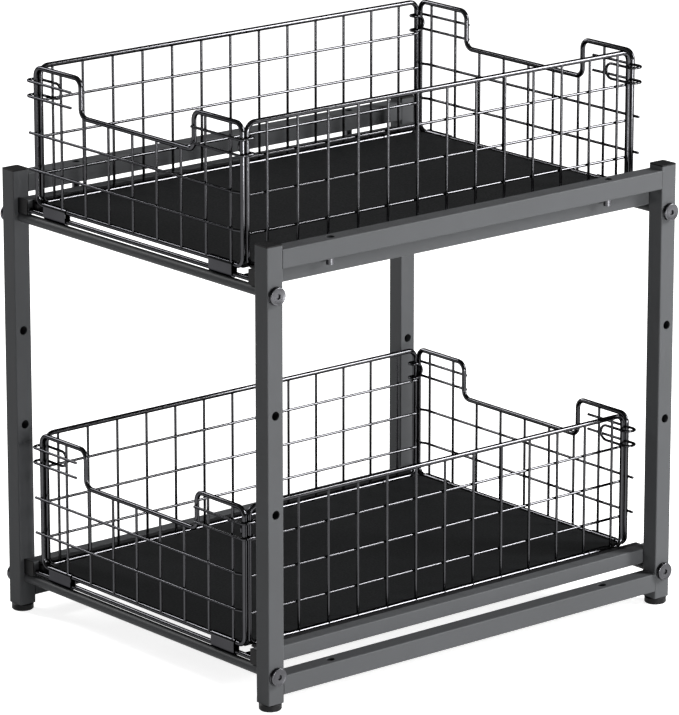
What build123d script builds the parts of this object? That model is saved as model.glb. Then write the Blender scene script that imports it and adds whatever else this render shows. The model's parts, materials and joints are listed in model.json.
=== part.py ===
from build123d import *
import os

# Two-tier pull-out basket for a kitchen cabinet. A frame of square steel tube carries two
# wire baskets, one above the other, and each basket runs forward on a pair of ball slides.
# Millimetres. +X is to the right, -Y is the front that the baskets are pulled out of, +Z up.
# The origin is on the floor, under the middle of the frame.

# ------------------------------------------------------------------ driving sizes
# Frame of square tube
frame_width = 326.8            # over the outer faces of the posts
frame_depth = 412.4            # over the front and back faces of the posts
post_size = 15.0               # square tube of the posts and side rails
tube_wall = 1.2
tube_corner = 1.0              # outer corner radius of every square tube
bottom_rail_lift = 6.0         # underside of the bottom rails above the posts' lower ends
top_rail_drop = 4.0            # top of the upper rails below the top of the posts
runner_headroom = 2.9          # air between the upper runners and the upper rails
cap_plate = 1.0                # visible thickness of the plug in a post's top
cap_plug_length = 8.0
plug_clearance = 0.1           # between any plastic plug and the tube's inner wall

# Feet
foot_height = 5.5
foot_diameter = 17.5
foot_chamfer = 0.8

# Tiers
tier_pitch = 295.0             # from the lower basket to the upper one
bar_diameter = 8.0             # round bars across the frame
bar_above_rail = 1.4           # lower bars' axis above the top of the bottom rails
runner_size = 12.0             # square tube that carries a slide
runner_setback = 4.0           # runner ends behind the posts' front and back planes
runner_cap = 1.0               # visible thickness of a runner's end plug

# Fasteners of the frame
bolt_diameter = 5.0
bolt_hole_diameter = 5.5
bolt_grip_in_bar = 14.0
bolt_end_gap = 1.0             # air between a bolt's end and the bottom of its bore
thread_clearance = 0.05
bolt_head_diameter = 14.0
bolt_head_height = 2.0
bolt_head_bevel = 0.6
bolt_socket_size = 4.0         # across the flats
bolt_socket_depth = 1.4
flat_washer_diameter = 13.6
flat_washer_thickness = 1.0
lock_washer_diameter = 10.5
lock_washer_thickness = 1.0
lock_washer_split = 0.8
spare_hole_diameter = 7.0      # holes in the posts for other heights of the upper tier
spare_hole_drops = (91.9, 168.6)   # below the upper bars' axis

# Holes in the side rails
rail_hole_spacing = 280.0      # front to back
rail_access_diameter = 7.0     # in the top wall of every side rail
floor_screw_diameter = 4.5     # in the bottom wall of the bottom rails
insert_body_diameter = 6.0     # threaded inserts in the bottom wall of the top rails
insert_flange_diameter = 6.8
insert_flange_thickness = 0.8
insert_drop = 6.0              # below the rail
insert_bore_diameter = 3.3
insert_fit = 0.05

# Ball slides
channel_wall = 1.0
channel_height = 11.4
channel_lip = 5.4              # from the runner's face to the lips' edges
channel_front_gap = 0.3        # behind the front wire of the basket's base
channel_rear_setback = 6.2     # behind this the frame's rear plane
rail_height = 5.8
rail_thickness = 3.6
rail_stand_off = 2.8           # between the runner's face and the moving rail
rail_rear_gap = 0.3            # to the channel's rear stop
slide_overlap = 136.7          # channel that the moving rail keeps when it is right out
ball_clearance = 0.05
ball_pitch = 14.0
balls_per_row = 8
cage_wall = 0.6
cage_end = 11.0                # cage beyond its last ball
cage_hole_clearance = 0.1
front_stop_setback = 3.4       # cage's front stop behind the channel's front end
stop_thickness = 1.0
stop_height = 4.0
stop_gap = 0.3
slide_screw_diameter = 3.5
slide_screw_head = 5.5
slide_screw_length = 7.0
slide_screw_spacing = 150.0
screw_slot_width = 0.8
screw_slot_depth = 0.5

# Baskets
frame_wire = 4.0               # wire round the edge of every panel
mesh_wire = 2.2
cross_wire = 3.0
weld_sink = 0.2                # how far welded wires are pressed into each other
weld_step = 0.15               # upright wires' outer side behind the edge wire's
basket_front_setback = 7.2     # front panel's plane behind the posts' front plane
basket_rear_setback = 14.1     # back panel's plane before the posts' back plane
basket_side_gap = 1.6          # between the moving rail and the side panel
basket_underside_gap = 1.3     # between the bars and the basket's base
front_wire_overhang = 9.2      # front base wire past the side panels' planes
panel_lift = 7.2               # panels' bottom wires above the base wires
panel_height = 108.4           # between the panels' bottom and top wires
side_panel_gap = 4.3           # side panels' end wires from the front and back planes
panel_corner = 7.0             # bend radius of the edge wire
ear_width = 57.1               # each side of the low part of the front and back
notch_depth = 30.0
front_first_wire = 13.1        # first upright wire from the edge wire
front_wire_pitch = 29.55
side_first_wire = 18.4
side_wire_pitch = 29.33
upright_min_gap = 10.0         # least distance from the last upright wire to the edge wire
front_wire_heights = (27.4, 56.2)          # above the panels' bottom wires
side_wire_heights = (24.1, 53.4, 82.1)
long_wire_overhang = 5.5       # long wires past the edge wire, at one end
long_wire_kink = 7.0           # length over which the other end bends in to the edge wire
cross_wire_pitch = 23.6
cross_wire_min_gap = 12.0      # least distance from the front and back planes
mat_thickness = 3.0
mat_side_gap = 4.9             # from the side panels' planes
mat_end_gap = 3.7              # from the front and back planes

# Bent tabs that tie the panels to the base
tab_wall = 0.8
tab_clearance = 0.05
tab_length_front = 27.5
tab_edge_front = 10.4          # from the side panels' planes
tab_length_side = 20.0         # these lie between the last two cross wires of each end
tab_slot_clearance = 0.3

# Corner clips of bent wire
clip_drops = (11.4, 23.5)      # the clip's two legs below the panels' top wires
clip_gap = 0.3                 # to the wires that the clip goes round
clip_touch = 0.05              # to the wires that the clip lies against
loose_clip_start = 8.7         # how far its legs start inside the ear
loose_clip_reach = 7.5         # how far it stands out past the side panel
loose_clip_inner_leg = 21.4    # how far its loop reaches in along the panel
tight_clip_start = 0.7
tight_clip_depth = 5.3         # how far it goes back past the end wire
loose_clip_bend = 5.3
tight_clip_bend = 3.2
clip_loop_bend = 6.0

# ------------------------------------------------------------------ worked out from those
post_x = frame_width / 2 - post_size / 2
post_y = frame_depth / 2 - post_size / 2
post_inner_x = frame_width / 2 - post_size
post_inner_y = frame_depth / 2 - post_size
post_foot_z = foot_height

bottom_rail_z = post_foot_z + bottom_rail_lift
lower_bar_z = bottom_rail_z + post_size + bar_above_rail
bar_radius = bar_diameter / 2
tier_lifts = {"lower": 0.0, "upper": tier_pitch}
upper_bar_z = lower_bar_z + tier_pitch
top_rail_z = upper_bar_z + bar_radius + runner_size + runner_headroom
post_top_z = top_rail_z + post_size + top_rail_drop

runner_inner_x = post_inner_x - runner_size
runner_end_y = frame_depth / 2 - runner_setback
runner_z = lower_bar_z + bar_radius
slide_z = runner_z + runner_size / 2

rail_outer_x = runner_inner_x - rail_stand_off
rail_inner_x = rail_outer_x - rail_thickness
half_wire = frame_wire / 2
half_mesh = mesh_wire / 2
half_cross = cross_wire / 2
side_x = rail_inner_x - basket_side_gap - half_wire
front_y = -frame_depth / 2 + basket_front_setback
back_y = frame_depth / 2 - basket_rear_setback
basket_mid_y = (front_y + back_y) / 2
base_z = lower_bar_z + bar_radius + basket_underside_gap + half_wire
panel_z = base_z + panel_lift
panel_top_z = panel_z + panel_height
cross_z = base_z + half_wire + half_cross - weld_sink
mat_z = cross_z + half_cross

channel_front_y = front_y + half_wire + channel_front_gap
channel_back_y = frame_depth / 2 - channel_rear_setback
rear_stop_y = channel_back_y - stop_thickness - 2 * stop_gap
rail_front_y = front_y + half_wire
rail_back_y = rear_stop_y - rail_rear_gap
raceway_gap = (channel_height - 2 * channel_wall - rail_height) / 2
ball_radius = raceway_gap / 2 - ball_clearance
ball_x = rail_inner_x + (rail_thickness + channel_wall) / 2
slide_travel = channel_back_y - channel_front_y - slide_overlap
cage_travel = slide_travel / 2
cage_length = (balls_per_row - 1) * ball_pitch + 2 * cage_end
front_stop_y = channel_front_y + front_stop_setback
cage_front_y = front_stop_y + stop_thickness + stop_gap + cage_travel
lug_front_y = cage_front_y + cage_length + cage_travel + stop_gap


# ------------------------------------------------------------------ helpers
def save(name, pieces):
    """Writes one sub-part, made of one or more separate solids."""
    pieces = list(pieces) if isinstance(pieces, (list, tuple)) else [pieces]
    solids = [solid for piece in pieces for solid in piece.solids()]
    node = solids[0] if len(solids) == 1 else Compound(children=solids)
    node.label = name
    export_step(node, f"parts/{name}.step")


def block(low, high):
    """A box between two opposite corners."""
    size = [b - a for a, b in zip(low, high)]
    middle = [(a + b) / 2 for a, b in zip(low, high)]
    return Pos(*middle) * Box(*size)


def rod(start, end, diameter):
    """A round bar or wire from one point to another."""
    run = Vector(*end) - Vector(*start)
    return Plane(origin=start, z_dir=run) * Cylinder(
        diameter / 2, run.length, align=(Align.CENTER, Align.CENTER, Align.MIN)
    )


def bent_wire(points, bends, diameter):
    """A wire along straight runs, bent to the given radii at its corners."""
    path = FilletPolyline(*points, radius=bends) if bends else Line(*points)
    return sweep(Plane(origin=path @ 0, z_dir=path % 0) * Circle(diameter / 2), path=path)


def ring_wire(points, bend, diameter):
    """A closed ring of wire, as two lengths that meet in the middle of the runs beside the
    first corner."""
    corners_of_ring = [Vector(*p) for p in points]
    before = (corners_of_ring[-1] + corners_of_ring[0]) / 2
    after = (corners_of_ring[0] + corners_of_ring[1]) / 2
    long_route = [after, *corners_of_ring[1:], before]
    long_part = bent_wire(long_route, [bend] * (len(points) - 1), diameter)
    return long_part, bent_wire([before, corners_of_ring[0], after], [bend], diameter)


def square_tube(start, end, size):
    """A square tube with rounded corners from one point to another on its axis."""
    run = Vector(*end) - Vector(*start)
    section = RectangleRounded(size, size, tube_corner)
    section -= Rectangle(size - 2 * tube_wall, size - 2 * tube_wall)
    return extrude(Plane(origin=start, z_dir=run) * section, run.length)


def turned(piece):
    """The same piece turned half a turn about the basket's upright middle axis."""
    return Pos(0, basket_mid_y, 0) * Rot(0, 0, 180) * Pos(0, -basket_mid_y, 0) * piece


def handed(piece, side):
    """A piece drawn for the right hand side, or its mirror copy for the left."""
    return piece if side > 0 else mirror(piece, about=Plane.YZ)


# ------------------------------------------------------------------ frame
def post(side, end):
    """An upright tube, drilled across for both tiers' bolts and for other heights."""
    x, y = side * post_x, end * post_y
    tube = square_tube((x, y, post_foot_z), (x, y, post_top_z - cap_plate), post_size)
    holes = [(lower_bar_z, bolt_hole_diameter), (upper_bar_z, bolt_hole_diameter)]
    holes += [(upper_bar_z - drop, spare_hole_diameter) for drop in spare_hole_drops]
    for z, diameter in holes:
        tube -= rod((x - post_size, y, z), (x + post_size, y, z), diameter)
    return tube


def post_cap(side, end):
    """A plastic plug: a flat plate over the tube's end and a block inside it."""
    x, y = side * post_x, end * post_y
    half = post_size / 2 - tube_wall - plug_clearance
    plate = extrude(
        Plane(origin=(x, y, post_top_z - cap_plate))
        * RectangleRounded(post_size, post_size, tube_corner),
        cap_plate,
    )
    below = post_top_z - cap_plate - cap_plug_length
    return plate + block((x - half, y - half, below), (x + half, y + half, post_top_z - cap_plate))


def foot(side, end):
    """A round glide under a post, with a block that plugs into the tube."""
    x, y = side * post_x, end * post_y
    half = post_size / 2 - tube_wall - plug_clearance
    disc = rod((x, y, 0), (x, y, foot_height), foot_diameter)
    disc = chamfer(disc.edges().filter_by(GeomType.CIRCLE), foot_chamfer)
    return disc + block(
        (x - half, y - half, foot_height), (x + half, y + half, foot_height + cap_plug_length)
    )


def side_rail(side, bottom_z, lower_hole_diameter):
    """A tube between the posts of one side, drilled for fixings near both ends."""
    x, z = side * post_x, bottom_z + post_size / 2
    rail = square_tube((x, -post_inner_y, z), (x, post_inner_y, z), post_size)
    for y in (-rail_hole_spacing / 2, rail_hole_spacing / 2):
        rail -= rod((x, y, z), (x, y, z + post_size), rail_access_diameter)
        rail -= rod((x, y, z - post_size), (x, y, z), lower_hole_diameter)
    return rail


def rail_insert(side, end):
    """A threaded insert: its flange sits inside the rail and its body hangs below."""
    x, y = side * post_x, end * rail_hole_spacing / 2
    seat_z = top_rail_z + tube_wall
    low_z = top_rail_z - insert_drop
    high_z = seat_z + insert_flange_thickness
    insert = rod((x, y, low_z), (x, y, seat_z), insert_body_diameter)
    insert += rod((x, y, seat_z), (x, y, high_z), insert_flange_diameter)
    return insert - rod((x, y, low_z), (x, y, high_z), insert_bore_diameter)


def cross_bar(end, lift):
    """A round bar between the left and right posts, bored at both ends for the bolts."""
    y, z = end * post_y, lower_bar_z + lift
    bar = rod((-post_inner_x, y, z), (post_inner_x, y, z), bar_diameter)
    for side in (-1, 1):
        inner = (side * (post_inner_x - bolt_grip_in_bar), y, z)
        bar -= rod(inner, (side * post_inner_x, y, z), bolt_diameter + 2 * thread_clearance)
    return bar


def frame_bolt(side, end, lift):
    """A flat headed bolt through a post into the end of a bar."""
    y, z = end * post_y, lower_bar_z + lift
    under_head = frame_width / 2 + flat_washer_thickness + lock_washer_thickness
    face = under_head + bolt_head_height
    shank_end = post_inner_x - bolt_grip_in_bar + bolt_end_gap
    head = rod((under_head, y, z), (face, y, z), bolt_head_diameter)
    head = chamfer(head.edges().filter_by(GeomType.CIRCLE), bolt_head_bevel)
    bolt = head + rod((shank_end, y, z), (under_head, y, z), bolt_diameter)
    socket = Plane(origin=(face, y, z), z_dir=(-1, 0, 0)) * RegularPolygon(
        bolt_socket_size / 2, 6, major_radius=False
    )
    bolt -= extrude(socket, bolt_socket_depth)
    return handed(bolt, side)


def flat_washer(side, end, lift):
    """The washer against the post."""
    y, z = end * post_y, lower_bar_z + lift
    x = frame_width / 2
    washer = rod((x, y, z), (x + flat_washer_thickness, y, z), flat_washer_diameter)
    washer -= rod((x, y, z), (x + flat_washer_thickness, y, z), bolt_hole_diameter)
    return handed(washer, side)


def lock_washer(side, end, lift):
    """The split spring washer under a bolt's head."""
    y, z = end * post_y, lower_bar_z + lift
    x = frame_width / 2 + flat_washer_thickness
    washer = rod((x, y, z), (x + lock_washer_thickness, y, z), lock_washer_diameter)
    washer -= rod((x, y, z), (x + lock_washer_thickness, y, z), bolt_hole_diameter)
    half_split = lock_washer_split / 2
    washer -= block((x, y - half_split, z), (x + lock_washer_thickness, y + half_split,
                                             z + lock_washer_diameter))
    return handed(washer, side)


def runner(side, lift):
    """The square tube on the bars that carries a slide, drilled for the slide's screws."""
    x, z = side * (runner_inner_x + runner_size / 2), runner_z + lift + runner_size / 2
    end_y = runner_end_y - runner_cap
    tube = square_tube((x, -end_y, z), (x, end_y, z), runner_size)
    for y in screw_places:
        inside = (side * (runner_inner_x + runner_size / 2), y, z)
        tube -= rod((side * runner_inner_x, y, z), inside, slide_screw_diameter)
    return tube


def runner_plug(side, end, lift):
    """The plastic plug in a runner's end."""
    x, z = side * (runner_inner_x + runner_size / 2), runner_z + lift + runner_size / 2
    inner_y, outer_y = end * (runner_end_y - runner_cap), end * runner_end_y
    plate = extrude(
        Plane(origin=(x, inner_y, z), z_dir=(0, end, 0))
        * RectangleRounded(runner_size, runner_size, tube_corner),
        runner_cap,
    )
    half = runner_size / 2 - tube_wall - plug_clearance
    low_y, high_y = sorted((inner_y, inner_y - end * cap_plug_length))
    return plate + block((x - half, low_y, z - half), (x + half, high_y, z + half))


# ------------------------------------------------------------------ ball slides
screw_places = (-slide_screw_spacing, 0.0, slide_screw_spacing)


def slide_channel(lift):
    """The fixed channel of a right hand slide, with its two stops and its screw holes."""
    z = slide_z + lift
    low, high = z - channel_height / 2, z + channel_height / 2
    plate_x = runner_inner_x - channel_wall
    lip_x = runner_inner_x - channel_lip
    channel = block((lip_x, channel_front_y, low), (runner_inner_x, channel_back_y, high))
    channel -= block(
        (lip_x, channel_front_y, low + channel_wall),
        (plate_x, channel_back_y, high - channel_wall),
    )
    stop_low, stop_high = z - stop_height / 2, z + stop_height / 2
    channel += block(
        (rail_outer_x + stop_gap, front_stop_y, stop_low),
        (plate_x, front_stop_y + stop_thickness, stop_high),
    )
    channel += block(
        (lip_x, rear_stop_y, stop_low), (plate_x, rear_stop_y + stop_thickness, stop_high)
    )
    for y in screw_places:
        channel -= screw_shape(y, z)
    return channel


def screw_shape(y, z):
    """A countersunk screw, its head flush with the inside of the channel."""
    head_x = runner_inner_x - channel_wall
    cone = Plane(origin=(head_x, y, z), z_dir=(1, 0, 0)) * Cone(
        slide_screw_head / 2,
        slide_screw_diameter / 2,
        channel_wall,
        align=(Align.CENTER, Align.CENTER, Align.MIN),
    )
    tip = (head_x + slide_screw_length, y, z)
    return cone + rod((head_x + channel_wall, y, z), tip, slide_screw_diameter)


def slide_screw(y, lift):
    """A screw that holds a channel to its runner, with a slot for the driver."""
    z, head_x = slide_z + lift, runner_inner_x - channel_wall
    half_slot, reach = screw_slot_width / 2, slide_screw_head
    slot = block(
        (head_x - screw_slot_depth, y - reach, z - half_slot),
        (head_x + screw_slot_depth, y + reach, z + half_slot),
    )
    return screw_shape(y, z) - slot


def slide_rail(lift):
    """The moving rail of a right hand slide, with the lug that draws the cage along."""
    z = slide_z + lift
    rail = block(
        (rail_inner_x, rail_front_y, z - rail_height / 2),
        (rail_outer_x, rail_back_y, z + rail_height / 2),
    )
    lug_x = runner_inner_x - channel_wall - stop_gap
    return rail + block(
        (rail_outer_x, lug_front_y, z - stop_height / 2),
        (lug_x, lug_front_y + stop_thickness, z + stop_height / 2),
    )


def ball_points(lift):
    """The centres of the balls above and below the moving rail of a right hand slide."""
    z = slide_z + lift
    rise = rail_height / 2 + raceway_gap / 2
    rows = [cage_front_y + cage_end + n * ball_pitch for n in range(balls_per_row)]
    return [(ball_x, y, z + way * rise) for y in rows for way in (-1, 1)]


def ball_cage(lift):
    """The thin strip that spaces the balls."""
    z = slide_z + lift
    half = rail_height / 2 + raceway_gap / 2 + cage_wall / 2
    gap_x = (runner_inner_x - channel_wall - rail_outer_x - cage_wall) / 2
    web_in, web_out = rail_outer_x + gap_x, rail_outer_x + gap_x + cage_wall
    edge_x = rail_inner_x + channel_wall + stop_gap
    back = cage_front_y + cage_length
    cage = block((edge_x, cage_front_y, z - half), (web_out, back, z + half))
    cage -= block((edge_x, cage_front_y, z - half + cage_wall), (web_in, back, z + half - cage_wall))
    hole = 2 * (ball_radius + cage_hole_clearance)
    for x, y, ball_z in ball_points(lift):
        cage -= rod((x, y, ball_z - cage_wall), (x, y, ball_z + cage_wall), hole)
    return cage


# ------------------------------------------------------------------ baskets
front_panel_count = int((2 * side_x - front_first_wire - upright_min_gap) / front_wire_pitch) + 1
side_end_front = front_y + side_panel_gap
side_end_back = back_y - side_panel_gap
side_panel_count = (
    int((side_end_back - side_end_front - side_first_wire - upright_min_gap) / side_wire_pitch)
    + 1
)
cross_wire_count = int((back_y - front_y - 2 * cross_wire_min_gap) / cross_wire_pitch) + 1
front_upright_xs = [side_x - front_first_wire - n * front_wire_pitch
                    for n in range(front_panel_count)]
side_upright_ys = [side_end_front + side_first_wire + n * side_wire_pitch
                   for n in range(side_panel_count)]
cross_wire_ys = [basket_mid_y + (n - (cross_wire_count - 1) / 2) * cross_wire_pitch
                 for n in range(cross_wire_count)]
notch_x = side_x - ear_width
wrap_bend = half_wire + half_mesh + clip_touch     # mesh wire bent close round an edge wire
flush = half_wire - half_mesh - weld_step      # uprights stand almost flush with the edge wire


def base_grid(lift):
    """The welded floor of a basket: an edge of thick wire with cross wires laid on it."""
    z, top = base_z + lift, cross_z + lift
    front_x = side_x + front_wire_overhang
    grid = rod((-front_x, front_y, z), (front_x, front_y, z), frame_wire)
    grid += rod((-rail_inner_x, back_y, z), (rail_inner_x, back_y, z), frame_wire)
    grid += [rod((s * side_x, front_y, z), (s * side_x, back_y, z), frame_wire) for s in (-1, 1)]
    return grid + [rod((-rail_inner_x, y, top), (rail_inner_x, y, top), cross_wire)
                   for y in cross_wire_ys]


def front_panel(lift):
    """The welded front: an edge wire with a low middle, uprights and two long wires."""
    low, high = panel_z + lift, panel_top_z + lift
    notch_z = high - notch_depth
    y = front_y
    edge = ring_wire(
        [
            (-side_x, y, low), (side_x, y, low), (side_x, y, high), (notch_x, y, high),
            (notch_x, y, notch_z), (-notch_x, y, notch_z), (-notch_x, y, high),
            (-side_x, y, high),
        ],
        panel_corner,
        frame_wire,
    )
    upright_y = y - flush
    uprights = []
    for x in front_upright_xs:
        top = high if abs(x) > notch_x else notch_z
        uprights.append(rod((x, upright_y, low), (x, upright_y, top), mesh_wire))
    long_y = upright_y - mesh_wire + weld_sink
    long_wires = []
    for height in front_wire_heights:
        z = low + height
        route = [
            (-side_x - long_wire_overhang, long_y, z),
            (side_x - long_wire_kink, long_y, z),
            (side_x, y, z),
        ]
        long_wires.append(bent_wire(route, [2 * mesh_wire], mesh_wire))
    return edge[0] + [edge[1], *uprights, *long_wires]


def side_panel(lift):
    """The welded right side: a plain edge wire, uprights outside and three long wires inside.
    It is drawn as seen from outside, like the front, and turned to face right."""
    low, high = panel_z + lift, panel_top_z + lift
    y = -side_x
    edge = ring_wire(
        [
            (side_end_front, y, low), (side_end_back, y, low),
            (side_end_back, y, high), (side_end_front, y, high),
        ],
        panel_corner,
        frame_wire,
    )
    upright_y = y - flush
    uprights = [rod((x, upright_y, low), (x, upright_y, high), mesh_wire)
                for x in side_upright_ys]
    long_y = upright_y + mesh_wire - weld_sink
    long_wires = [
        bent_wire([(side_end_front, long_y, low + h), (side_end_back, long_y, low + h)],
                  [], mesh_wire)
        for h in side_wire_heights
    ]
    return Rot(0, 0, 90) * (edge[0] + [edge[1], *uprights, *long_wires])


def loose_clip(lift):
    """The clip at the left front corner: it loops round the side panel's end wire inside."""
    z1, z2 = (panel_top_z + lift - drop for drop in clip_drops)
    out_y = front_y - wrap_bend
    in_y = side_end_front + half_wire + clip_gap + half_mesh
    start_x = -(notch_x + loose_clip_start)
    out_x = -(side_x + half_wire + loose_clip_reach)
    loop_x = -(side_x - loose_clip_inner_leg)
    half_loop = [(start_x, out_y), (out_x, out_y), (out_x, in_y), (loop_x, in_y)]
    return clip_wire(half_loop, z1, z2, [loose_clip_bend, loose_clip_bend])


def tight_clip(lift):
    """The clip at the right front corner: it goes round the side panel's end wire and
    loops inside the front panel's edge wire."""
    z1, z2 = (panel_top_z + lift - drop for drop in clip_drops)
    out_y = front_y - wrap_bend
    start_x = notch_x + tight_clip_start
    out_x = side_x + wrap_bend
    back_y_of_clip = side_end_front + tight_clip_depth
    in_x = side_x - half_wire - clip_gap - half_mesh
    half_loop = [
        (start_x, out_y), (out_x, out_y), (out_x, back_y_of_clip), (in_x, back_y_of_clip),
        (in_x, front_y - clip_gap),
    ]
    return clip_wire(half_loop, z1, z2, [wrap_bend, tight_clip_bend, tight_clip_bend])


def clip_wire(half_loop, z1, z2, bends):
    """A clip that runs out at one height and comes back the same way at another."""
    points = [(x, y, z1) for x, y in half_loop] + [(x, y, z2) for x, y in reversed(half_loop)]
    return bent_wire(points, [*bends, clip_loop_bend, clip_loop_bend, *reversed(bends)], mesh_wire)


def tab(middle, along, length, slots, lift):
    """A strip bent right round a base wire and the panel's bottom wire above it. middle is
    its place in plan, along is its direction, and slots are where uprights pass it."""
    inner = half_wire + tab_clearance
    outer = inner + tab_wall
    plane = Plane(
        origin=Vector(*middle, (base_z + panel_z) / 2 + lift) - Vector(*along) * length / 2,
        x_dir=(0, 0, 1),
        z_dir=along,
    )
    section = SlotCenterToCenter(panel_lift, 2 * outer) - SlotCenterToCenter(panel_lift, 2 * inner)
    strip = extrude(plane * section, length)
    for x, y in slots:
        low = (x, y, panel_z + lift)
        strip -= rod(low, (x, y, panel_z + lift + outer), mesh_wire + 2 * tab_slot_clearance)
    return strip


def front_tabs(lift):
    """The two tabs of the front panel."""
    tabs = []
    for side in (-1, 1):
        middle_x = side * (side_x - tab_edge_front - tab_length_front / 2)
        near = [x for x in front_upright_xs if abs(x - middle_x) < tab_length_front / 2]
        slots = [(x, front_y - flush) for x in near]
        tabs.append(tab((middle_x, front_y), (1, 0, 0), tab_length_front, slots, lift))
    return tabs


def side_tabs(lift):
    """The two tabs of the right side panel."""
    tabs = []
    for middle_y in (sum(cross_wire_ys[:2]) / 2, sum(cross_wire_ys[-2:]) / 2):
        near = [y for y in side_upright_ys if abs(y - middle_y) < tab_length_side / 2 + mesh_wire]
        slots = [(side_x + flush, y) for y in near]
        tabs.append(tab((side_x, middle_y), (0, 1, 0), tab_length_side, slots, lift))
    return tabs


def mat(lift):
    """The loose floor mat on the cross wires."""
    half_x = side_x - mat_side_gap
    low = (-half_x, front_y + mat_end_gap, mat_z + lift)
    return block(low, (half_x, back_y - mat_end_gap, mat_z + mat_thickness + lift))


# ------------------------------------------------------------------ build and write
os.makedirs("parts", exist_ok=True)

sides = {"left": -1, "right": 1}
ends = {"front": -1, "back": 1}
corners = [(side, end) for side in sides.values() for end in ends.values()]
bolt_places = [(side, end, lift) for side, end in corners for lift in tier_lifts.values()]

for side_name, side in sides.items():
    for end_name, end in ends.items():
        save(f"post_{end_name}_{side_name}", post(side, end))
    save(f"bottom_rail_{side_name}", side_rail(side, bottom_rail_z, floor_screw_diameter))
    insert_hole = insert_body_diameter + 2 * insert_fit
    save(f"top_rail_{side_name}", side_rail(side, top_rail_z, insert_hole))
save("post_caps", [post_cap(side, end) for side, end in corners])
save("feet", [foot(side, end) for side, end in corners])
save("rail_inserts", [rail_insert(side, end) for side, end in corners])
save("frame_bolts", [frame_bolt(*place) for place in bolt_places])
save("flat_washers", [flat_washer(*place) for place in bolt_places])
save("lock_washers", [lock_washer(*place) for place in bolt_places])

for tier, lift in tier_lifts.items():
    for end_name, end in ends.items():
        save(f"{tier}_{end_name}_bar", cross_bar(end, lift))
    for side_name, side in sides.items():
        save(f"{tier}_runner_{side_name}", runner(side, lift))
        save(f"{tier}_slide_channel_{side_name}", handed(slide_channel(lift), side))
        save(f"{tier}_slide_rail_{side_name}", handed(slide_rail(lift), side))
    save(f"{tier}_runner_plugs", [runner_plug(side, end, lift) for side, end in corners])
    screws = [slide_screw(y, lift) for y in screw_places]
    cage = ball_cage(lift)
    balls = [Pos(*point) * Sphere(ball_radius) for point in ball_points(lift)]
    for name, pieces in (("slide_screws", screws), ("ball_cages", [cage]), ("slide_balls", balls)):
        save(f"{tier}_{name}", [handed(piece, side) for side in (1, -1) for piece in pieces])

    save(f"{tier}_base_grid", base_grid(lift))
    front, side_grid = front_panel(lift), side_panel(lift)
    save(f"{tier}_front_panel", front)
    save(f"{tier}_back_panel", turned(front))
    save(f"{tier}_side_panel_right", side_grid)
    save(f"{tier}_side_panel_left", turned(side_grid))
    clips = [loose_clip(lift), tight_clip(lift)]
    save(f"{tier}_corner_clips", clips + [turned(clip) for clip in clips])
    tabs = front_tabs(lift) + side_tabs(lift)
    save(f"{tier}_hinge_tabs", tabs + [turned(each) for each in tabs])
    save(f"{tier}_mat", mat(lift))
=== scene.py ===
# %% [markdown]
# # A two-tier pull-out basket for a kitchen cabinet
# The real product is a frame of square steel tube with two wire baskets on ball slides. The
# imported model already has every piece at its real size, so this file adds the looks: smooth
# wire, turned bolts and washers, painted and plated finishes, light and a camera.

# %% Load the frame
import json
import math

import bmesh
import bpy
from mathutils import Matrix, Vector


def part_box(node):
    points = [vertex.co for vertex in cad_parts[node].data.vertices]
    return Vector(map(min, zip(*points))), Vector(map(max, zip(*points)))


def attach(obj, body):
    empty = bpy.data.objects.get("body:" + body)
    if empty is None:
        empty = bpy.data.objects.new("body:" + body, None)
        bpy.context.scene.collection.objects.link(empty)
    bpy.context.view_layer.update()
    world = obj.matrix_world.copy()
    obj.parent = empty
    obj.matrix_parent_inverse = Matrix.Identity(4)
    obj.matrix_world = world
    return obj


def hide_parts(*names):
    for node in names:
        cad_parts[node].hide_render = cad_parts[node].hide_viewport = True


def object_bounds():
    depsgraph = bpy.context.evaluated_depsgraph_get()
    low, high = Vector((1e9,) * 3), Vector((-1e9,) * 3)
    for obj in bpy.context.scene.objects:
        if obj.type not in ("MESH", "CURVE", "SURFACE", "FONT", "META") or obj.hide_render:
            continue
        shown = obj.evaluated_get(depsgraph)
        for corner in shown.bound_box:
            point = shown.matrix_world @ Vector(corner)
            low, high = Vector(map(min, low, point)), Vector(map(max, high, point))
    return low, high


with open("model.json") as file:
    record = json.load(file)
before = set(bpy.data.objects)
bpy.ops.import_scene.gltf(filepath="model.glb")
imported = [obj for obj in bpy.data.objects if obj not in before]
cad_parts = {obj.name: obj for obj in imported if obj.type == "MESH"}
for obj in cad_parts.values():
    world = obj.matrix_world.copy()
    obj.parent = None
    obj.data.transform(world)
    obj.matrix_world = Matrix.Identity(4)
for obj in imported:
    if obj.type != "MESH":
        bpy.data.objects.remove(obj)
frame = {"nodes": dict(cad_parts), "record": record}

cad_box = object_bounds()
print("CAD box, m:", [tuple(round(v, 4) for v in corner) for corner in cad_box])

# %% [markdown]
# ## Sizes
# Blender works in metres and the maker's drawing is in millimetres, so sizes are written in
# millimetres times `mm`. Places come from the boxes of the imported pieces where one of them
# gives the place, and only the sizes that a box can't tell are written out here.

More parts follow.
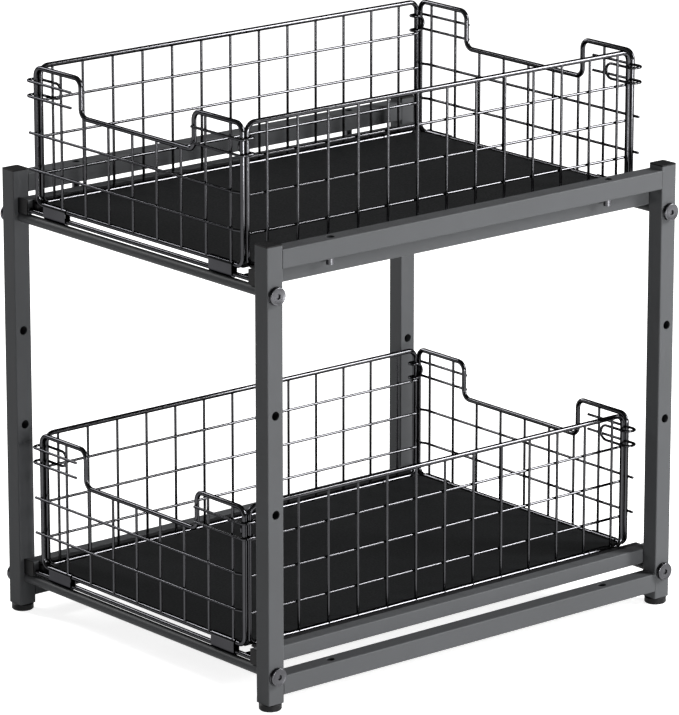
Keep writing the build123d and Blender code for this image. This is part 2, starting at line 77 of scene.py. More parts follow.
# %% Sizes of the wire work
mm = 0.001
EDGE_WIRE = 4.0 * mm
MESH_WIRE = 2.2 * mm
CROSS_WIRE = 3.0 * mm
WELD_SINK = 0.2 * mm  # how far crossed wires sink into each other where they are welded
WELD_STEP = 0.15 * mm  # how far an upright stays inside the face of the edge wire
EDGE_BEND = 7.0 * mm
EAR_WIDTH = 57.1 * mm  # from a corner of the front or back panel to its low middle
NOTCH_DEPTH = 30.0 * mm  # how much lower that middle is
FRONT_FIRST, FRONT_PITCH, FRONT_COUNT = 13.1 * mm, 29.55 * mm, 8
SIDE_FIRST, SIDE_PITCH, SIDE_COUNT = 18.4 * mm, 29.33 * mm, 13
FRONT_LONG_HEIGHTS = (27.4 * mm, 56.2 * mm)
SIDE_LONG_HEIGHTS = (24.1 * mm, 53.4 * mm, 82.1 * mm)
LONG_OVERHANG = 5.5 * mm  # the free end of a front panel's long wire past the corner
LONG_KINK = 7.0 * mm  # where its other end starts to bend towards the edge wire
LONG_BEND = 2 * MESH_WIRE
CROSS_PITCH, CROSS_COUNT = 23.6 * mm, 16
SIDE_GAP = 4.3 * mm  # end wires of the side panels from the front and back planes
TIERS = ("lower", "upper")

half_edge, half_mesh, half_cross = EDGE_WIRE / 2, MESH_WIRE / 2, CROSS_WIRE / 2
step_back = half_edge - half_mesh - WELD_STEP
lift = {tier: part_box(f"{tier}_mat")[0].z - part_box("lower_mat")[0].z for tier in TIERS}

right_low, right_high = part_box("lower_side_panel_right")
side_x = right_high.x - half_edge
front_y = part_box("lower_front_panel")[1].y - half_edge
back_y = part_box("lower_back_panel")[0].y + half_edge
middle_y = (front_y + back_y) / 2
panel_z, panel_top = right_low.z + half_edge, right_high.z - half_edge
notch_x = side_x - EAR_WIDTH
base_low, base_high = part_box("lower_base_grid")
base_z = base_low.z + half_edge
print("side panel plane %.1f mm, front plane %.1f mm" % (side_x / mm, front_y / mm))

# %% [markdown]
# ## A helper for nodes, and one for colours
# Materials and Geometry Nodes are both trees, so one small function adds a node with its
# settings and links. Colours are read off as sRGB hex values and turned to the linear values
# that Cycles works in by one function.

# %% Node and colour helpers
def add(tree, kind, inputs=None, **settings):
    """Adds a node. A value that is another node's output is linked, any other is set."""
    made = tree.nodes.new(kind)
    for name, value in settings.items():
        setattr(made, name, value)
    for name, value in (inputs or {}).items():
        if isinstance(value, bpy.types.NodeSocket):
            tree.links.new(value, made.inputs[name])
        else:
            made.inputs[name].default_value = value
    return made


def linear(hex_colour):
    """A hex sRGB colour as linear red, green, blue and alpha."""
    parts = [int(hex_colour[i:i + 2], 16) / 255 for i in (1, 3, 5)]
    return (*[p / 12.92 if p <= 0.04045 else ((p + 0.055) / 1.055) ** 2.4 for p in parts], 1.0)


NOISE_LOW, NOISE_HIGH = 0.3, 0.7  # most of a noise texture's values lie between these
MIX_DARK, MIX_LIGHT, MIX_COLOUR = 6, 7, 2  # the Mix node's sockets for colours, by number


def mottled(name, dark, light, patch, roughness, spread, grain, bump, **surface):
    """A material whose colour drifts between two tones in patches of one size, and whose
    roughness and relief follow a finer grain. Sizes are in metres."""
    material = bpy.data.materials.new(name)
    material.use_nodes = True
    tree = material.node_tree
    tree.nodes.clear()
    place = add(tree, "ShaderNodeTexCoord").outputs["Object"]
    patches = add(tree, "ShaderNodeTexNoise", {"Vector": place, "Scale": 1 / patch, "Detail": 3.0})
    fine = add(tree, "ShaderNodeTexNoise", {"Vector": place, "Scale": 1 / grain, "Detail": 2.0})
    tone = add(tree, "ShaderNodeMix", {
        "Factor": patches.outputs["Fac"], MIX_DARK: linear(dark), MIX_LIGHT: linear(light),
    }, data_type="RGBA")
    rough = add(tree, "ShaderNodeMapRange", {
        "Value": fine.outputs["Fac"], "From Min": NOISE_LOW, "From Max": NOISE_HIGH,
        "To Min": roughness - spread, "To Max": roughness + spread})
    relief = add(tree, "ShaderNodeBump", {
        "Height": fine.outputs["Fac"], "Strength": 1.0, "Distance": bump})
    shader = add(tree, "ShaderNodeBsdfPrincipled", {
        "Base Color": tone.outputs[MIX_COLOUR], "Roughness": rough.outputs["Result"],
        "Normal": relief.outputs["Normal"]})
    for socket, value in surface.items():
        shader.inputs[socket.replace("_", " ")].default_value = value
    add(tree, "ShaderNodeOutputMaterial", {"Surface": shader.outputs["BSDF"]})
    return material


# %% [markdown]
# ## Finishes
# - The tubes are powder coated: a baked plastic film with a fine orange peel and a dull satin
#   sheen, here in gunmetal grey.
# - The wires are plated with black nickel, which is nearly black and glossy, so a wire shows as
#   a black line with a thin bright one along it.
# - The slides are rolled steel with a thin black electrophoretic paint, flatter than both.
# - Bolts, washers and inserts are black nickel too, and the slides' screws and ball cages zinc.
#   The balls are polished steel, the feet, caps and plugs moulded polypropylene, and the mat is
#   a matt sheet with a fine pebble.
#
# Each finish could be one flat colour. Two near tones that drift in patches, with a fine grain
# in the roughness, keep large plain faces from looking drawn, so one helper makes them all.

# %% Materials
def gunmetal_powder_coat():
    """Polyester powder baked on steel. Its orange peel, drawn at 1.2 mm, dulls the shine."""
    return mottled("gunmetal_powder_coat", "#434445", "#4a4b4d", patch=60 * mm, roughness=0.42,
                   spread=0.05, grain=1.2 * mm, bump=0.015 * mm, Specular_IOR_Level=0.06)


def black_nickel_wire():
    """Black nickel over drawn wire: a dark, smooth metal with sharp highlights. The dark
    tint is for its edges, which would otherwise show the white floor."""
    return mottled("black_nickel_wire", "#39393b", "#434345", patch=25 * mm, roughness=0.16,
                   spread=0.03, grain=3 * mm, bump=0.003 * mm, Metallic=1.0,
                   Specular_Tint=(0.12, 0.12, 0.12, 1.0))


def black_paint_on_slides():
    """A thin, even black paint on rolled strip, which the eye sees as nearly flat black."""
    return mottled("black_electrophoretic_paint", "#131314", "#19191b", patch=40 * mm,
                   roughness=0.38, spread=0.05, grain=1.5 * mm, bump=0.01 * mm,
                   Specular_IOR_Level=0.09)


def black_nickel_bolt():
    """Turned steel with a thin black nickel plate: softer highlights than on the wire."""
    return mottled("black_nickel_plate", "#48484a", "#565659", patch=6 * mm, roughness=0.3,
                   spread=0.06, grain=0.8 * mm, bump=0.005 * mm, Metallic=1.0,
                   Specular_Tint=(0.4, 0.4, 0.4, 1.0))


def zinc_plate():
    """Bright zinc plate: a light bluish grey with a slightly clouded shine."""
    return mottled("zinc_plate", "#a9abad", "#bfc1c3", patch=8 * mm, roughness=0.34, spread=0.08,
                   grain=0.8 * mm, bump=0.01 * mm, Metallic=1.0)


def polished_steel():
    """Bearing steel of the slides' balls, polished to small sharp highlights."""
    return mottled("polished_ball_steel", "#c4c6c9", "#d2d4d6", patch=2 * mm, roughness=0.12,
                   spread=0.03, grain=0.5 * mm, bump=0.001 * mm, Metallic=1.0)


def black_polypropylene():
    """Moulded black plastic. Its fine spark finish, drawn at 0.7 mm, takes off the shine."""
    return mottled("black_polypropylene", "#0e0e0f", "#151516", patch=15 * mm, roughness=0.5,
                   spread=0.08, grain=0.7 * mm, bump=0.03 * mm, Specular_IOR_Level=0.12)


def matt_black_sheet():
    """The mat: pressed sheet with a fine pebble, drawn at 1.6 mm, which scatters the light."""
    return mottled("matt_black_sheet", "#0f1011", "#161718", patch=90 * mm, roughness=0.5,
                   spread=0.06, grain=1.6 * mm, bump=0.03 * mm, Specular_IOR_Level=0.1)


finishes = {
    "frame_steel": gunmetal_powder_coat(),
    "wire_steel": black_nickel_wire(),
    "slide_steel": black_paint_on_slides(),
    "black_bolt_steel": black_nickel_bolt(),
    "zinc_steel": zinc_plate(),
    "cage_steel": zinc_plate(),
    "ball_steel": polished_steel(),
    "black_plastic": black_polypropylene(),
    "mat_plastic": matt_black_sheet(),
}

for part in frame["record"]["subparts"]:
    mesh = frame["nodes"][part["node"]].data
    mesh.materials.clear()
    mesh.materials.append(finishes[part["material_slot"]])
print(len(finishes), "finishes on", len(frame["nodes"]), "packed pieces")

# %% [markdown]
# ## Welded wire
# Every panel of a basket is an edge wire bent to shape, with uprights at a steady pitch and a
# few long wires. One Geometry Nodes tree makes all of them. The object's own edges are the
# routes of the bent wires: each point says how far it is rounded (`bend`) and how thick its
# wire is (`thick`). The wires that repeat are lines stood along a row of points. Both turn to
# tubes at the end, and the whole becomes a plain mesh.

# %% The wire tree
BEND_STEPS = 7  # straight steps in each rounded corner
UNIT_RADIUS = 0.5  # the section is 1 across, so its scale is the wire's diameter


def wire_tree():
    """Routes become round bent wire, and a row of straight wires is added."""
    tree = bpy.data.node_groups.new("welded_wire", "GeometryNodeTree")
    face = tree.interface
    face.new_socket("Routes", in_out="INPUT", socket_type="NodeSocketGeometry")
    for name, kind in (
        ("First", "Vector"), ("Step", "Vector"), ("Run", "Vector"), ("Count", "Int"),
        ("Low half width", "Float"), ("Low drop", "Float"), ("Row wire", "Float"),
        ("Sides", "Int"), ("Finish", "Material"),
    ):
        face.new_socket(name, in_out="INPUT", socket_type=f"NodeSocket{kind}")
    face.new_socket("Wire", in_out="OUTPUT", socket_type="NodeSocketGeometry")
    given = add(tree, "NodeGroupInput").outputs

    def named(name):
        return add(tree, "GeometryNodeInputNamedAttribute", {"Name": name}).outputs["Attribute"]

    def number(operation, first, second):
        return add(tree, "ShaderNodeMath", {0: first, 1: second}, operation=operation).outputs[0]

    def tube(curve, thickness):
        ring = add(tree, "GeometryNodeCurvePrimitiveCircle",
                   {"Resolution": given["Sides"], "Radius": UNIT_RADIUS})
        return add(tree, "GeometryNodeCurveToMesh", {
            "Curve": curve, "Profile Curve": ring.outputs[0], "Scale": thickness,
            "Fill Caps": True,
        }).outputs[0]

    route = add(tree, "GeometryNodeMeshToCurve", {"Mesh": given["Routes"]})
    rounded = add(tree, "GeometryNodeFilletCurve", {
        "Curve": route.outputs[0], "Count": BEND_STEPS, "Radius": named("bend"),
        "Limit Radius": True,
    }, mode="POLY")
    bent = tube(rounded.outputs[0], named("thick"))

    row = add(tree, "GeometryNodeMeshLine",
              {"Count": given["Count"], "Start Location": given["First"], "Offset": given["Step"]},
              mode="OFFSET")
    where = add(tree, "ShaderNodeSeparateXYZ",
                {0: add(tree, "GeometryNodeInputPosition").outputs[0]}).outputs["X"]
    inside = number("LESS_THAN", number("ABSOLUTE", where, 0.0), given["Low half width"])
    drop = number("MULTIPLY", inside, given["Low drop"])
    run = add(tree, "ShaderNodeSeparateXYZ", {0: given["Run"]}).outputs
    shorter = add(tree, "ShaderNodeCombineXYZ",
                  {"X": run["X"], "Y": run["Y"], "Z": number("SUBTRACT", run["Z"], drop)})
    unit = add(tree, "GeometryNodeCurvePrimitiveLine",
               {"Start": (0.0, 0.0, 0.0), "End": (1.0, 1.0, 1.0)}, mode="POINTS")
    copies = add(tree, "GeometryNodeInstanceOnPoints", {
        "Points": row.outputs["Mesh"], "Instance": unit.outputs[0], "Scale": shorter.outputs[0]})
    real = add(tree, "GeometryNodeRealizeInstances", {0: copies.outputs[0]})
    straight = tube(real.outputs[0], given["Row wire"])

    joined = add(tree, "GeometryNodeJoinGeometry")
    for wire in (bent, straight):
        tree.links.new(wire, joined.inputs[0])
    smooth = add(tree, "GeometryNodeSetShadeSmooth", {0: joined.outputs[0]})
    plain = add(tree, "GeometryNodeRealizeInstances", {0: smooth.outputs[0]})
    done = add(tree, "GeometryNodeSetMaterial",
               {"Geometry": plain.outputs[0], "Material": given["Finish"]})
    add(tree, "NodeGroupOutput", {0: done.outputs[0]})
    return tree


WIRE_TREE = wire_tree()

# %% [markdown]
# A modifier's inputs are set by the identifier of their socket, before the object is first
# evaluated. `new_from_object` then gives the evaluated mesh, and the modifier goes.

# %% From a modifier to a plain mesh
SHARP_ANGLE = math.radians(45)
WIRE_SIDES, CLIP_SIDES = 14, 12


def grown(thing, tree, **values):
    """Runs a tree on an object and keeps the result as its own plain mesh."""
    modifier = thing.modifiers.new("grow", "NODES")
    modifier.node_group = tree
    sockets = {s.name: s.identifier for s in tree.interface.items_tree
               if s.item_type == "SOCKET" and s.in_out == "INPUT"}
    for name, value in values.items():
        modifier[sockets[name.replace("_", " ")]] = value
    ready = thing.evaluated_get(bpy.context.evaluated_depsgraph_get())
    mesh = bpy.data.meshes.new_from_object(ready)
    thing.modifiers.clear()
    thing.data = mesh
    mesh.set_sharp_from_angle(angle=SHARP_ANGLE)
    return thing


def linked(name, mesh):
    """A new object in the scene."""
    thing = bpy.data.objects.new(name, mesh)
    bpy.context.scene.collection.objects.link(thing)
    return thing


def routes_object(name, routes):
    """An object of loose edges. A route is (points, bend, thickness, closed), and its bend is
    one radius for all of its points or a list with one for each."""
    mesh = bpy.data.meshes.new(name)
    points, edges, bends, thick = [], [], [], []
    for run, bend, width, closed in routes:
        first = len(points)
        points += run
        edges += [(first + n, first + n + 1) for n in range(len(run) - 1)]
        if closed:
            edges.append((len(points) - 1, first))
        bends += list(bend) if isinstance(bend, (list, tuple)) else [bend] * len(run)
        thick += [width] * len(run)
    mesh.from_pydata([tuple(p) for p in points], edges, [])
    for label, values in (("bend", bends), ("thick", thick)):
        layer = mesh.attributes.new(label, "FLOAT", "POINT")
        layer.data.foreach_set("value", values)
    return linked(name, mesh)


def wire_piece(name, routes, sides=WIRE_SIDES, **row):
    """A piece of wire work: bent routes, and a row of straight wires if one is given."""
    thing = routes_object(name, routes)
    values = {"First": (0.0, 0.0, 0.0), "Step": (0.0, 0.0, 0.0), "Run": (0.0, 0.0, 0.0),
              "Count": 0, "Low_half_width": 0.0, "Low_drop": 0.0, "Row_wire": MESH_WIRE}
    values.update(row)
    grown(thing, WIRE_TREE, Sides=sides, Finish=finishes["wire_steel"], **values)
    return thing


def stand_in(thing, body, node):
    """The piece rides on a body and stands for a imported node. Prints how far their boxes
    differ."""
    low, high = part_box(node)
    new_low = Vector(min(v.co[n] for v in thing.data.vertices) for n in range(3))
    new_high = Vector(max(v.co[n] for v in thing.data.vertices) for n in range(3))
    off = max((new_low - low).length, (new_high - high).length)
    print(f"{thing.name}: {len(thing.data.polygons)} faces, box differs by {off / mm:.2f} mm")
    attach(thing, body)
    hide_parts(node)


# %% [markdown]
# ## Front and back panels
# The back panel is the front panel turned half a turn about the basket's upright middle axis,
# which is how one welding jig makes both. So the front is drawn once and the points are turned.
# One point at each corner is enough, because the tree rounds the corners.

# %% Front and back panels
def half_turn(points):
    """Points turned half a turn about the basket's upright middle axis."""
    return [Vector((-p[0], 2 * middle_y - p[1], p[2])) for p in points]


def turned_routes(routes):
    """Whole routes turned in the same way."""
    return [(half_turn(run), bend, width, closed) for run, bend, width, closed in routes]


def front_routes(up):
    """The edge wire of a front panel, with its low middle, and its two long wires."""
    low, high, y = panel_z + up, panel_top + up, front_y
    notch_z = high - NOTCH_DEPTH
    edge = [
        (-side_x, y, low), (side_x, y, low), (side_x, y, high), (notch_x, y, high),
        (notch_x, y, notch_z), (-notch_x, y, notch_z), (-notch_x, y, high), (-side_x, y, high),
    ]
    routes = [([Vector(p) for p in edge], EDGE_BEND, EDGE_WIRE, True)]
    long_y = y - step_back - MESH_WIRE + WELD_SINK
    for height in FRONT_LONG_HEIGHTS:
        z = low + height
        run = [(-side_x - LONG_OVERHANG, long_y, z), (side_x - LONG_KINK, long_y, z),
               (side_x, y, z)]
        routes.append(([Vector(p) for p in run], LONG_BEND, MESH_WIRE, False))
    return routes


for tier in TIERS:
    up = lift[tier]
    first = Vector((side_x - FRONT_FIRST, front_y - step_back, panel_z + up))
    step = Vector((-FRONT_PITCH, 0, 0))
    row = {"Run": (0.0, 0.0, panel_top - panel_z), "Count": FRONT_COUNT,
           "Low_half_width": notch_x, "Low_drop": NOTCH_DEPTH}
    front = wire_piece(f"{tier}_front_wires", front_routes(up), First=first, Step=step, **row)
    stand_in(front, f"{tier}_basket", f"{tier}_front_panel")
    back = wire_piece(f"{tier}_back_wires", turned_routes(front_routes(up)),
                      First=half_turn([first])[0], Step=-step, **row)
    stand_in(back, f"{tier}_basket", f"{tier}_back_panel")

# %% [markdown]
# ## Side panels
# A side panel is a plain rounded rectangle, with its uprights outside and three long wires
# inside them. The left one is again the right one after half a turn.

# %% Side panels
side_front, side_back = front_y + SIDE_GAP, back_y - SIDE_GAP
upright_x = side_x + step_back
long_x = upright_x - MESH_WIRE + WELD_SINK


def side_routes(up):
    """The edge wire of a right side panel and its long wires."""
    low, high = panel_z + up, panel_top + up
    edge = [(side_x, side_front, low), (side_x, side_back, low),
            (side_x, side_back, high), (side_x, side_front, high)]
    routes = [([Vector(p) for p in edge], EDGE_BEND, EDGE_WIRE, True)]
    for height in SIDE_LONG_HEIGHTS:
        run = [(long_x, side_front, low + height), (long_x, side_back, low + height)]
        routes.append(([Vector(p) for p in run], 0.0, MESH_WIRE, False))
    return routes


for tier in TIERS:
    up = lift[tier]
    first = Vector((upright_x, side_front + SIDE_FIRST, panel_z + up))
    step = Vector((0, SIDE_PITCH, 0))
    row = {"Run": (0.0, 0.0, panel_top - panel_z), "Count": SIDE_COUNT}
    right = wire_piece(f"{tier}_right_wires", side_routes(up), First=first, Step=step, **row)
    stand_in(right, f"{tier}_basket", f"{tier}_side_panel_right")
    left = wire_piece(f"{tier}_left_wires", turned_routes(side_routes(up)),
                      First=half_turn([first])[0], Step=-step, **row)
    stand_in(left, f"{tier}_basket", f"{tier}_side_panel_left")

# %% [markdown]
# ## Base grids
# The floor of a basket is an edge of thick wire with thinner wires laid across it, so here the
# row of the tree runs from front to back and each of its wires runs from side to side.

# %% Base grids
cross_z = base_z + half_edge + half_cross - WELD_SINK
rail_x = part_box("lower_slide_rail_right")[0].x
for tier in TIERS:
    up = lift[tier]
    z = base_z + up
    runs = [
        [(base_low.x, front_y, z), (base_high.x, front_y, z)],
        [(-rail_x, back_y, z), (rail_x, back_y, z)],
        [(-side_x, front_y, z), (-side_x, back_y, z)],
        [(side_x, front_y, z), (side_x, back_y, z)],
    ]
    routes = [([Vector(p) for p in run], 0.0, EDGE_WIRE, False) for run in runs]
    first = Vector((-rail_x, middle_y - (CROSS_COUNT - 1) / 2 * CROSS_PITCH, cross_z + up))
    grid = wire_piece(f"{tier}_base_wires", routes, First=first,
                      Step=Vector((0, CROSS_PITCH, 0)), Run=(2 * rail_x, 0.0, 0.0),
                      Count=CROSS_COUNT, Row_wire=CROSS_WIRE)
    stand_in(grid, f"{tier}_basket", f"{tier}_base_grid")

# %% [markdown]
# ## Corner clips
# Each clip is one wire that goes out at one height and comes back at another, with a round eye
# between. The pair at one end has a loose one, which stands clear of the corner, and a tight
# one, which hugs it. The other end has the same pair after half a turn.

# %% Corner clips
CLIP_DROPS = (11.4 * mm, 23.5 * mm)
CLIP_GAP, CLIP_TOUCH = 0.3 * mm, 0.05 * mm
LOOSE_START, LOOSE_REACH, LOOSE_INNER_LEG = 8.7 * mm, 7.5 * mm, 21.4 * mm
TIGHT_START, TIGHT_DEPTH = 0.7 * mm, 5.3 * mm
LOOSE_BEND, TIGHT_BEND, EYE_BEND = 5.3 * mm, 3.2 * mm, 6.0 * mm
WRAP_BEND = half_edge + half_mesh + CLIP_TOUCH


def clip_route(plan, bends, up):
    """A clip from its half route in plan: out at one height and back at the other."""
    high, low = (panel_top + up - drop for drop in CLIP_DROPS)
    run = [Vector((x, y, high)) for x, y in plan] + [Vector((x, y, low)) for x, y in plan[::-1]]
    bend = [0.0, *bends, EYE_BEND, EYE_BEND, *bends[::-1], 0.0]
    return run, bend, MESH_WIRE, False


def clip_routes(up):
    """The loose clip at the left front corner and the tight one at the right front."""
    out_y = front_y - WRAP_BEND
    in_y = side_front + half_edge + CLIP_GAP + half_mesh
    reach_x = -(side_x + half_edge + LOOSE_REACH)
    loose = [(-(notch_x + LOOSE_START), out_y), (reach_x, out_y), (reach_x, in_y),
             (-(side_x - LOOSE_INNER_LEG), in_y)]
    tight_x = side_x + WRAP_BEND
    eye_x = side_x - half_edge - CLIP_GAP - half_mesh
    tight_y = side_front + TIGHT_DEPTH
    tight = [(notch_x + TIGHT_START, out_y), (tight_x, out_y), (tight_x, tight_y),
             (eye_x, tight_y), (eye_x, front_y - CLIP_GAP)]
    return [clip_route(loose, [LOOSE_BEND, LOOSE_BEND], up),
            clip_route(tight, [WRAP_BEND, TIGHT_BEND, TIGHT_BEND], up)]


for tier in TIERS:
    routes = clip_routes(lift[tier])
    clips = wire_piece(f"{tier}_clip_wires", routes + turned_routes(routes), sides=CLIP_SIDES)
    stand_in(clips, f"{tier}_basket", f"{tier}_corner_clips")

# %% [markdown]
# ## Bolts and washers
# Eight bolts, eight flat washers and eight split washers are the same three turned shapes, set
# along the right side and turned round for the left. A second tree takes one shape and puts a
# copy at every point of a small cloud, turned by the angle that the point carries.

# %% The tree of placed copies
def copies_tree():
    """Puts a copy of an object at every point, turned about Z by the point's `turn`."""
    tree = bpy.data.node_groups.new("placed_copies", "GeometryNodeTree")
    for name, kind in (("Places", "Geometry"), ("Shape", "Object"), ("Finish", "Material")):
        tree.interface.new_socket(name, in_out="INPUT", socket_type=f"NodeSocket{kind}")
    tree.interface.new_socket("Copies", in_out="OUTPUT", socket_type="NodeSocketGeometry")
    given = add(tree, "NodeGroupInput").outputs
    shape = add(tree, "GeometryNodeObjectInfo", {"Object": given["Shape"]})
    turn = add(tree, "GeometryNodeInputNamedAttribute", {"Name": "turn"}).outputs["Attribute"]
    angles = add(tree, "ShaderNodeCombineXYZ", {"Z": turn})
    facing = add(tree, "FunctionNodeEulerToRotation", {0: angles.outputs[0]})
    placed = add(tree, "GeometryNodeInstanceOnPoints", {
        "Points": given["Places"], "Instance": shape.outputs["Geometry"],
        "Rotation": facing.outputs[0]})
    real = add(tree, "GeometryNodeRealizeInstances", {0: placed.outputs[0]})
    done = add(tree, "GeometryNodeSetMaterial",
               {"Geometry": real.outputs[0], "Material": given["Finish"]})
    add(tree, "NodeGroupOutput", {0: done.outputs[0]})
    return tree


COPIES_TREE = copies_tree()
TURN_STEPS = 48
HALF_SIDE = math.pi / 6  # half the angle that one side of a hexagon takes
MERGE_DISTANCE = 0.001 * mm


def turned_shape(name, outline, around=TURN_STEPS, split=0.0, inside=()):
    """A shape turned about X from an outline of (x, radius) points. A split leaves a gap of
    that angle at the top. At the points whose numbers are in `inside` the radius is that of
    a hexagon's flats, and the ring is a hexagon."""
    shape = bmesh.new()
    sweep = 2 * math.pi - split
    steps = around + (1 if split else 0)
    rings = []
    for n in range(steps):
        angle = split / 2 + sweep * n / around
        hexagon = 1 / math.cos(angle % (2 * HALF_SIDE) - HALF_SIDE)
        ring = []
        for place, (x, radius) in enumerate(outline):
            reach = radius * hexagon if place in inside else radius
            ring.append(shape.verts.new((x, reach * math.sin(angle), reach * math.cos(angle))))
        rings.append(ring)
    for n in range(around):
        here, there = rings[n], rings[(n + 1) % steps]
        for k in range(len(outline) - 1):
            shape.faces.new((here[k], here[k + 1], there[k + 1], there[k]))
    if split:
        for ring in (rings[0], rings[-1]):
            shape.faces.new(ring)
    bmesh.ops.remove_doubles(shape, verts=shape.verts, dist=MERGE_DISTANCE)
    bmesh.ops.recalc_face_normals(shape, faces=shape.faces)
    mesh = bpy.data.meshes.new(name)
    shape.to_mesh(mesh)
    shape.free()
    mesh.shade_smooth()
    return bpy.data.objects.new(name, mesh)


def place_copies(name, node, shape, places, finish):
    """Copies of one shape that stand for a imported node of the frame."""
    cloud = bpy.data.meshes.new(name)
    cloud.from_pydata([place for place, turn in places], [], [])
    layer = cloud.attributes.new("turn", "FLOAT", "POINT")
    layer.data.foreach_set("value", [turn for place, turn in places])
    thing = linked(name, cloud)
    bpy.context.scene.collection.objects.link(shape)
    grown(thing, COPIES_TREE, Shape=shape, Finish=finishes[finish])
    bpy.data.objects.remove(shape)
    stand_in(thing, "frame", node)


# %% [markdown]
# The head has a rolled edge that stands a little proud of its face. In the photograph this
# edge catches the light as a thin ring, and the hexagon socket in the middle is dark.

# %% Bolts
HEAD_FACE, UNDER_HEAD, SHANK_LENGTH = 4.0 * mm, 2.0 * mm, 28.0 * mm
HEAD_RADIUS, ROLL, SHANK_RADIUS = 7.0 * mm, 0.6 * mm, 2.5 * mm
ROLL_ANGLES = (0.0, 0.4, 0.8, 1.2, math.pi / 2)
FACE_RADIUS, FACE_SINK = 6.0 * mm, 0.2 * mm
SOCKET_FLAT, SOCKET_DEPTH = 2.0 * mm, 1.4 * mm

bolt_low, bolt_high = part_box("frame_bolts")
post_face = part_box("post_front_right")[1].x
bolt_y = bolt_high.y - HEAD_RADIUS
bolt_heights = (bolt_low.z + HEAD_RADIUS, bolt_high.z - HEAD_RADIUS)
places = [((side * post_face, end * bolt_y, z), 0.0 if side > 0 else math.pi)
          for side in (1, -1) for end in (1, -1) for z in bolt_heights]

rolled_edge = [
    (HEAD_FACE - ROLL + ROLL * math.sin(a), HEAD_RADIUS - ROLL + ROLL * math.cos(a))
    for a in ROLL_ANGLES]
sunk_face, socket_floor = HEAD_FACE - FACE_SINK, HEAD_FACE - SOCKET_DEPTH
bolt_outline = [
    (-SHANK_LENGTH, 0.0), (-SHANK_LENGTH, SHANK_RADIUS), (UNDER_HEAD, SHANK_RADIUS),
    (UNDER_HEAD, HEAD_RADIUS - ROLL), (UNDER_HEAD + ROLL, HEAD_RADIUS), *rolled_edge,
    (sunk_face, FACE_RADIUS), (sunk_face, SOCKET_FLAT),
    (socket_floor, SOCKET_FLAT), (socket_floor, 0.0),
]
socket = (len(bolt_outline) - 3, len(bolt_outline) - 2)
place_copies("turned_bolts", "frame_bolts", turned_shape("bolt", bolt_outline, inside=socket),
             places, "black_bolt_steel")

# %% [markdown]
# A washer is a ring whose section is a rectangle with its outer corners eased, so its outline
# runs round that section. The flat one lies on the post, and the split one lies on the flat one.

# %% Washers
BORE_RADIUS = 2.75 * mm
FLAT_THICKNESS, FLAT_RADIUS, FLAT_EASE = 1.0 * mm, 6.8 * mm, 0.15 * mm
LOCK_THICKNESS, LOCK_RADIUS, LOCK_EASE = 1.0 * mm, 5.25 * mm, 0.1 * mm
LOCK_GAP = 0.8 * mm


def washer_outline(near, thickness, outer, ease):
    """A washer's section from its bore round to its near face."""
    far = near + thickness
    return [(near, BORE_RADIUS), (far, BORE_RADIUS), (far, outer - ease), (far - ease, outer),
            (near + ease, outer), (near, outer - ease)]


flat_outline = washer_outline(0.0, FLAT_THICKNESS, FLAT_RADIUS, FLAT_EASE)
flat_outline.append(flat_outline[0])
place_copies("turned_flat_washers", "flat_washers", turned_shape("flat_washer", flat_outline),
             places, "black_bolt_steel")

# The near face of a split washer lies against the flat one, so its outline stays open there.
lock_outline = washer_outline(FLAT_THICKNESS, LOCK_THICKNESS, LOCK_RADIUS, LOCK_EASE)
lock_shape = turned_shape("lock_washer", lock_outline, split=LOCK_GAP / LOCK_RADIUS)
place_copies("turned_lock_washers", "lock_washers", lock_shape, places, "black_bolt_steel")

# %% [markdown]
# ## Floor and background
# The photograph has a white ground. The floor is a pale plane that reaches past the picture on
# all sides. Through Light Path it glows for the camera and for mirror-like rays, so it looks
# white, while its own matt surface still catches the shadow. The world gives only a plain dim
# grey light to all rays, so that the black wires have something dark to mirror from above.

# %% Floor and world
FLOOR_TONE, FLOOR_GLOW, FLOOR_HALF = "#e6e6e6", 0.85, 30.0
AMBIENT = 0.17


def seen(tree, strength):
    """A strength for camera, glossy and transmission rays, and none for the others."""
    rays = add(tree, "ShaderNodeLightPath").outputs
    either = add(tree, "ShaderNodeMath", {0: rays["Is Camera Ray"], 1: rays["Is Glossy Ray"]},
                 operation="MAXIMUM")
    any_ray = add(tree, "ShaderNodeMath",
                  {0: either.outputs[0], 1: rays["Is Transmission Ray"]}, operation="MAXIMUM")
    return add(tree, "ShaderNodeMath", {0: any_ray.outputs[0], 1: strength},
               operation="MULTIPLY").outputs[0]


def pale_floor():
    """A pale matt floor that keeps a soft shadow."""
    material = bpy.data.materials.new("pale_studio_floor")
    material.use_nodes = True
    tree = material.node_tree
    tree.nodes.clear()
    plain = add(tree, "ShaderNodeBsdfDiffuse", {"Color": linear(FLOOR_TONE)})
    glow = add(tree, "ShaderNodeEmission",
               {"Color": linear("#ffffff"), "Strength": seen(tree, FLOOR_GLOW)})
    both = add(tree, "ShaderNodeAddShader", {0: plain.outputs[0], 1: glow.outputs[0]})
    add(tree, "ShaderNodeOutputMaterial", {"Surface": both.outputs[0]})
    return material


floor_mesh = bpy.data.meshes.new("studio_floor")
floor_mesh.from_pydata(
    [(-FLOOR_HALF, -FLOOR_HALF, 0), (FLOOR_HALF, -FLOOR_HALF, 0),
     (FLOOR_HALF, FLOOR_HALF, 0), (-FLOOR_HALF, FLOOR_HALF, 0)], [], [(0, 1, 2, 3)])
floor_mesh.materials.append(pale_floor())
floor = linked("studio_floor", floor_mesh)

world = bpy.data.worlds.new("studio_world")
bpy.context.scene.world = world
world.use_nodes = True
sky = world.node_tree
sky.nodes.clear()
light = add(sky, "ShaderNodeBackground", {"Color": linear("#ffffff"), "Strength": AMBIENT})
add(sky, "ShaderNodeOutputWorld", {"Surface": light.outputs[0]})
print("floor", 2 * FLOOR_HALF, "m across, world strength", AMBIENT)

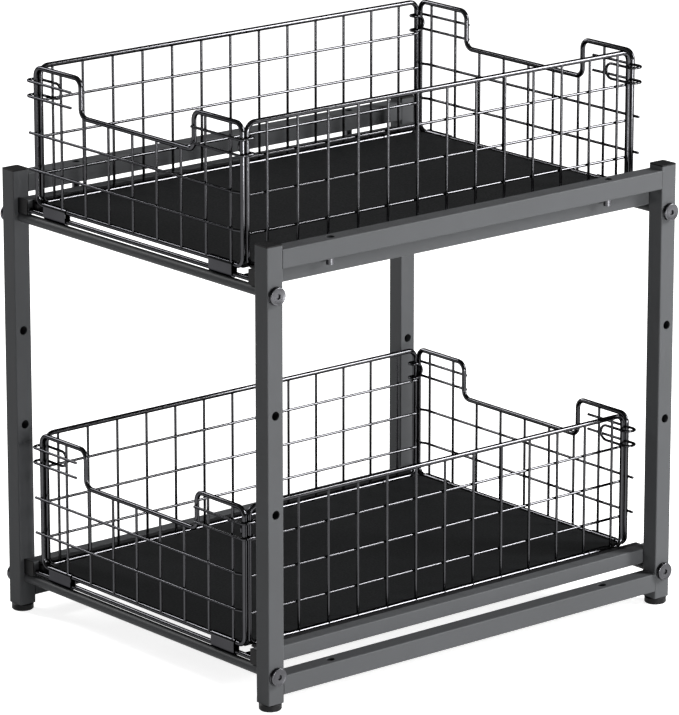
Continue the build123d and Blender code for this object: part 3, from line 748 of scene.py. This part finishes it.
# %% [markdown]
# ## Lamps
# In the photograph the right hand faces are clearly lighter than the front ones, and thin
# bright lines run along the wires. So a small soft lamp stands low on the right for the faces,
# and two tall strips hang higher up, a strong one behind on the right and a weaker one in front
# on the left: a wire mirrors a strip as a thin line.

# %% Lamps
def soft_lamp(name, place, wide, high, power):
    """A flat lamp that looks at the middle of the object. Sizes in metres, power in watts."""
    data = bpy.data.lights.new(name, "AREA")
    data.shape, data.size, data.size_y, data.energy = "RECTANGLE", wide, high, power
    lamp = bpy.data.objects.new(name, data)
    lamp.location = place
    target = (Vector(cad_box[0]) + Vector(cad_box[1])) / 2
    lamp.rotation_euler = (target - lamp.location).to_track_quat("-Z", "Y").to_euler()
    lamp.visible_camera = False
    bpy.context.scene.collection.objects.link(lamp)
    print(f"{name}: {power} W, {(lamp.location - target).length:.1f} m away")


soft_lamp("key_right", Vector((2.3, -0.1, 0.22)), 0.5, 0.42, 46)
soft_lamp("back_right_top", Vector((1.5, 1.6, 1.3)), 0.5, 1.1, 92)
soft_lamp("left_front_top", Vector((-1.9, -0.6, 1.3)), 0.45, 1.0, 36)

# %% [markdown]
# ## Camera
# The photograph is taken from the right front corner, a little above the object, with a long
# lens from about four metres, so the uprights hardly converge. The place, the direction and
# the focal length in pixels were fitted to the straight edges of the frame.

# %% Camera
AZIMUTH, ELEVATION = math.radians(50.02), math.radians(15.67)
CAMERA_PLACE = Vector((2.9501, -2.4738, 1.2851))
PIXELS_HIGH, FOCAL_PIXELS = 715, 5076.5
SENSOR = 36.0  # millimetres, along the longer side of the picture
NEAREST, FARTHEST = 0.1, 200
camera_data = bpy.data.cameras.new("camera")
camera_data.sensor_width = SENSOR
camera_data.lens = FOCAL_PIXELS / PIXELS_HIGH * SENSOR
camera_data.clip_start, camera_data.clip_end = NEAREST, FARTHEST
camera = bpy.data.objects.new("camera", camera_data)
bpy.context.scene.collection.objects.link(camera)
camera.location = CAMERA_PLACE
forward = Vector((-math.sin(AZIMUTH) * math.cos(ELEVATION),
                  math.cos(AZIMUTH) * math.cos(ELEVATION), -math.sin(ELEVATION)))
camera.rotation_euler = forward.to_track_quat("-Z", "Y").to_euler()
bpy.context.scene.camera = camera
bpy.context.scene.view_settings.view_transform = "Standard"
print(f"lens {camera_data.lens:.1f} mm")
